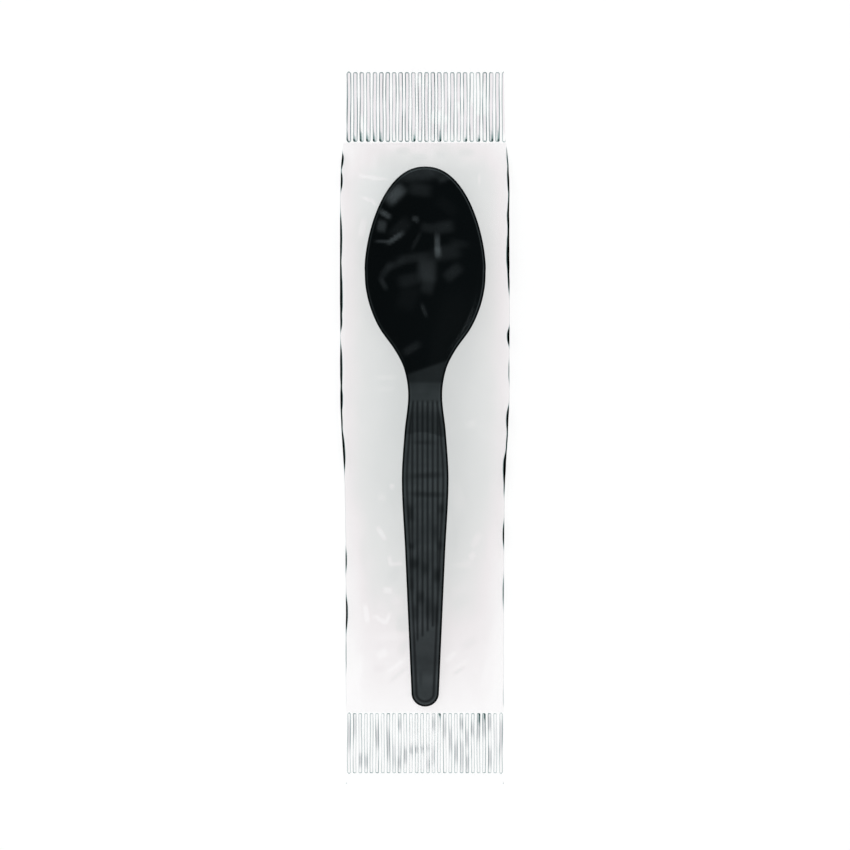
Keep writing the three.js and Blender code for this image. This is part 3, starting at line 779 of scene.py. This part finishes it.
def spoon_plastic():
    material, tree = new_material("black_polystyrene")
    satin_and_painted_light = node(tree, "ShaderNodeAttribute", attribute_name="satin_and_painted_light").outputs["Fac"]
    painted_groove_shade = node(tree, "ShaderNodeAttribute", attribute_name="painted_groove_shade").outputs["Fac"]
    # Painted sheen: the handle's grey, banded at random, stands in for its satin face's blurred reflection.
    broad = math_node(tree, "MULTIPLY", place_noise(tree, 90, (0.5, 2.2, 0.5), 3), 0.6)
    close = math_node(tree, "MULTIPLY", place_noise(tree, 150, (1.3, 1, 1), 2), 0.4)
    bands = math_node(tree, "ADD", broad, close)
    painted_sheen_grey = ramp(tree, bands, [(0.3, (0.046, 0.055, 0.058)), (0.64, (0.079, 0.092, 0.097))])
    # Painted shade: the handle's grooves are painted darker.
    with_painted_groove_shade = mix_colour(tree, math_node(tree, "MULTIPLY", painted_groove_shade, 0.92), painted_sheen_grey, (0.023, 0.027, 0.029))
    colour = mix_colour(tree, satin_and_painted_light, (0.0042, 0.0060, 0.0067), with_painted_groove_shade)
    grain = place_noise(tree, 2600, (1, 1, 1), 2)
    bump = node(tree, "ShaderNodeBump", Strength=0.12, Distance=0.00003)
    tree.links.new(math_node(tree, "MULTIPLY", grain, satin_and_painted_light), bump.inputs["Height"])
    rough = math_node(tree, "ADD", math_node(tree, "MULTIPLY", satin_and_painted_light, 0.28), 0.16)
    shader = node(tree, "ShaderNodeBsdfPrincipled", IOR=1.57)
    face = node(tree, "ShaderNodeAttribute", attribute_name="face").outputs["Fac"]
    tree.links.new(math_node(tree, "MULTIPLY", face, 0.006), shader.inputs["Specular IOR Level"])
    tree.links.new(colour, shader.inputs["Base Color"])
    tree.links.new(rough, shader.inputs["Roughness"])
    tree.links.new(bump.outputs[0], shader.inputs["Normal"])
    output = node(tree, "ShaderNodeOutputMaterial")
    tree.links.new(shader.outputs[0], output.inputs[0])
    return material


FILM_IOR = 1.3  # the same gloss from both sides of the film, as it is much thinner than it is wide
FILM_GLOSS = 0.7
# What passes one layer of film, by its paleness.
FILM_TINTS = [
    (0.0, (0.85, 0.862, 0.86)), (0.35, (0.9, 0.903, 0.901)), (0.55, (0.942, 0.928, 0.932)),
    (1.0, (0.993, 0.988, 0.99)),
]
# What passes its painted dark edges and folds, a painted shade which looks a little green, by how dark they
# are.
PAINTED_DARK_TINTS = [
    (0.0, 1.0), (0.25, (0.715, 0.757, 0.757)), (0.5, (0.42, 0.52, 0.512)), (0.8, (0.12, 0.215, 0.21)),
    (1.0, (0.001, 0.002, 0.002)),
]


def clear_film():
    """Thin clear film: nearly all light passes straight on, less in the ribs, with painted shade at the steep
    folds and rib edges, painted glints in its tint and a painted sheen over the bowl.
    """
    material, tree = new_material("clear_polypropylene_film")

    def mask(name):
        return node(tree, "ShaderNodeAttribute", attribute_name=name).outputs["Fac"]

    # The paleness holds the painted glints and painted shade of the film's marks.
    body = ramp(tree, mask("pale"), FILM_TINTS)
    welded, painted_dark = mask("welded"), mask("painted_dark")
    tint = mix_colour(tree, welded, body, (0.9995, 0.9985, 0.999))
    tint = mix_colour(tree, mask("haze"), tint, (0.914, 0.884, 0.902))
    # Painted shade: the dark edges and folds darken what passes.
    tint = mix_colour(tree, 1.0, tint, ramp(tree, painted_dark, PAINTED_DARK_TINTS), blend="MULTIPLY")
    clear = node(tree, "ShaderNodeBsdfTransparent")
    tree.links.new(tint, clear.inputs[0])
    # Painted sheen: a pale diffuse share of the film over the bowl's facets, standing in for their
    # reflection.
    milk_and_painted_sheen = node(tree, "ShaderNodeBsdfDiffuse", Color=(0.8, 0.93, 0.99, 1))
    film_with_painted_sheen = node(tree, "ShaderNodeMixShader")
    tree.links.new(mask("milk_and_painted_sheen"), film_with_painted_sheen.inputs[0])
    tree.links.new(clear.outputs[0], film_with_painted_sheen.inputs[1])
    tree.links.new(milk_and_painted_sheen.outputs[0], film_with_painted_sheen.inputs[2])
    gloss = node(tree, "ShaderNodeBsdfGlossy", Roughness=0.13)
    gloss.inputs["Color"].default_value = (0.93, 0.98, 1, 1)
    inner_face = node(tree, "ShaderNodeNewGeometry").outputs["Backfacing"]
    fresnel = node(tree, "ShaderNodeFresnel")
    inner_change = math_node(tree, "MULTIPLY", inner_face, FILM_IOR - 1 / FILM_IOR)
    ior = math_node(tree, "SUBTRACT", FILM_IOR, inner_change)
    tree.links.new(ior, fresnel.inputs["IOR"])
    undarkened = math_node(tree, "SUBTRACT", FILM_GLOSS, math_node(tree, "MULTIPLY", painted_dark, FILM_GLOSS))
    unwelded = math_node(tree, "SUBTRACT", 1.0, math_node(tree, "MULTIPLY", welded, 0.9))
    plain = math_node(tree, "MULTIPLY", undarkened, unwelded)
    skin = node(tree, "ShaderNodeMixShader")
    tree.links.new(math_node(tree, "MULTIPLY", fresnel.outputs[0], plain), skin.inputs[0])
    tree.links.new(film_with_painted_sheen.outputs[0], skin.inputs[1])
    tree.links.new(gloss.outputs[0], skin.inputs[2])
    output = node(tree, "ShaderNodeOutputMaterial")
    tree.links.new(skin.outputs[0], output.inputs[0])
    return material


# ---------- The pack ----------

teaspoon = make_spoon()
teaspoon.data.materials.append(spoon_plastic())
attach(teaspoon, "root")
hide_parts("spoon")

wrapper = make_film()
wrapper.data.materials.append(clear_film())
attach(wrapper, "root")
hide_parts("film_wrapper")


# ---------- The studio ----------

def make_floor():
    """A white light table: part of its light is its own, so that shadows on it stay faint."""
    mesh = bpy.data.meshes.new("white_table")
    reach, low = 4.0, -0.00002
    corners = [(-reach, -reach, low), (reach, -reach, low), (reach, reach, low), (-reach, reach, low)]
    mesh.from_pydata(corners, [], [(0, 1, 2, 3)])
    floor = bpy.data.objects.new("white_table", mesh)
    bpy.context.scene.collection.objects.link(floor)
    material, tree = new_material("white_table")
    paint = node(tree, "ShaderNodeBsdfDiffuse", Color=(0.3, 0.3, 0.3, 1))
    glow = node(tree, "ShaderNodeEmission", Strength=0.775)
    both = node(tree, "ShaderNodeAddShader")
    tree.links.new(paint.outputs[0], both.inputs[0])
    tree.links.new(glow.outputs[0], both.inputs[1])
    output = node(tree, "ShaderNodeOutputMaterial")
    tree.links.new(both.outputs[0], output.inputs[0])
    mesh.materials.append(material)


WINDOW_HEIGHT = 0.62
WINDOW_LEAN = math.sqrt(1 - WINDOW_HEIGHT ** 2)


def make_sky():
    """Soft light from low all round, nearly dark above, and one soft window high at the upper left."""
    world = bpy.data.worlds.new("studio")
    bpy.context.scene.world = world
    world.use_nodes = True
    tree = world.node_tree
    tree.nodes.clear()
    where = node(tree, "ShaderNodeTexCoord").outputs["Generated"]
    parts = node(tree, "ShaderNodeSeparateXYZ")
    tree.links.new(where, parts.inputs[0])
    ring = ramp(tree, parts.outputs[2], [(0, 0.5), (0.12, 0.45), (0.3, 0.12), (0.56, 0.03), (1, 0.02)])
    towards = node(tree, "ShaderNodeVectorMath", operation="DOT_PRODUCT")
    towards.inputs[1].default_value = (-0.67 * WINDOW_LEAN, 0.74 * WINDOW_LEAN, WINDOW_HEIGHT)
    tree.links.new(where, towards.inputs[0])
    window = ramp(tree, towards.outputs["Value"], [(0.9, (0, 0, 0)), (0.97, (0.9, 0.98, 1.0))])
    light = mix_colour(tree, 1.0, ring, window, "ADD")
    back = node(tree, "ShaderNodeBackground", Strength=2.2)
    tree.links.new(light, back.inputs[0])
    output = node(tree, "ShaderNodeOutputWorld")
    tree.links.new(back.outputs[0], output.inputs[0])


def make_overhead_light():
    """Wide light from straight above, out of sight of the gloss."""
    data = bpy.data.lights.new("overhead", "SUN")
    data.energy = 1.6
    data.angle = math.radians(80)
    light = bpy.data.objects.new("overhead", data)
    light.location = (0, 0, 1)
    light.visible_glossy = False
    bpy.context.scene.collection.objects.link(light)


def make_camera():
    """Straight above the pack, with a long lens. The picture is about 230 mm across."""
    height, across = 1.5, 0.2301
    data = bpy.data.cameras.new("camera")
    data.sensor_width = 36
    data.lens = 36 * height / across
    camera = bpy.data.objects.new("camera", data)
    camera.location = (0.00005, 0.00007, height)
    bpy.context.scene.collection.objects.link(camera)
    bpy.context.scene.camera = camera


make_floor()
make_sky()
make_overhead_light()
make_camera()
bpy.context.scene.view_settings.view_transform = "Standard"
